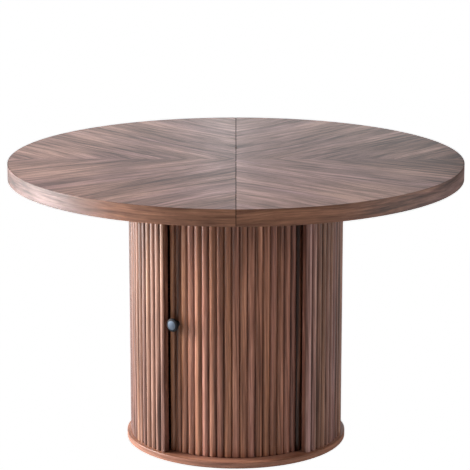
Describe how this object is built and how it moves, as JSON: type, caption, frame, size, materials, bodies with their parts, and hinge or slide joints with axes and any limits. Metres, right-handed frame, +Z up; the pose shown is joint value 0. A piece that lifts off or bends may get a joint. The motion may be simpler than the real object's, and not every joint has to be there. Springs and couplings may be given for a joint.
{
  "type": "round dining table with storage cabinet",
  "caption": "Round walnut-veneered dining table in two half tops on a fluted drum pedestal that is a storage cabinet with a sliding tambour door.",
  "frame": {"origin": "on the floor, below the centre of the tabletop", "axes": "+Z up, -Y towards the front where the door is, +X to the right as seen from the front"},
  "size_m": [1.1999, 1.2, 0.76],
  "materials": {
    "beech": "plain beech",
    "board": "raw fibreboard",
    "brass": "plain",
    "canvas": "woven canvas",
    "felt": "dark nylon",
    "knob_metal": "dark gunmetal lacquer",
    "nylon": "white nylon",
    "walnut_board": "walnut-faced board",
    "walnut_edge": "satin walnut edge band",
    "walnut_slat": "satin walnut slats",
    "walnut_veneer": "satin lacquered walnut veneer",
    "zinc_steel": "zinc plated"
  },
  "bodies": {
    "table": {"back_batten": "walnut_board", "batten_screws": "zinc_steel", "cabinet_back": "walnut_board", "cabinet_dowels": "beech", "cabinet_floor": "walnut_board", "cabinet_side_left": "walnut_board", "cabinet_side_right": "walnut_board", "center_block_left": "board", "center_block_right": "board", "diagonal_ribs_left": "board", "diagonal_ribs_right": "board", "edge_band_left": "walnut_edge", "edge_band_right": "walnut_edge", "edge_strip_left": "walnut_edge", "edge_strip_right": "walnut_edge", "floor_glides": "felt", "head_board": "walnut_board", "joining_plate_back": "zinc_steel", "joining_plate_front": "zinc_steel", "joining_screws": "zinc_steel", "panel_core_left": "walnut_board", "panel_core_right": "walnut_board", "panel_dowels": "beech", "panel_slats_left": "walnut_slat", "panel_slats_right": "walnut_slat", "plinth": "walnut_board", "plinth_screws": "zinc_steel", "rim_frame_left": "board", "rim_frame_right": "board", "seam_dowels": "beech", "seam_ribs_left": "board", "seam_ribs_right": "board", "seam_seal": "felt", "shelf": "walnut_board", "shelf_pins": "zinc_steel", "table_bolts": "zinc_steel", "threaded_inserts": "brass", "top_board_left": "board", "top_board_right": "board", "track_stops": "felt", "veneer_leaf_1": "walnut_veneer", "veneer_leaf_2": "walnut_veneer", "veneer_leaf_3": "walnut_veneer", "veneer_leaf_4": "walnut_veneer", "veneer_leaf_5": "walnut_veneer", "veneer_leaf_6": "walnut_veneer", "veneer_leaf_7": "walnut_veneer", "veneer_leaf_8": "walnut_veneer"},
    "door": {"door_slats": "walnut_slat", "door_canvas": "canvas", "door_gliders": "nylon", "knob": "knob_metal", "knob_screw": "zinc_steel"}
  },
  "joints": [
    {"name": "door_slide", "type": "hinge", "parent": "table", "child": "door", "pos_m": [0, 0, 0.36], "axis": [0, 0, 1], "range_deg": [0, 70]}
  ]
}
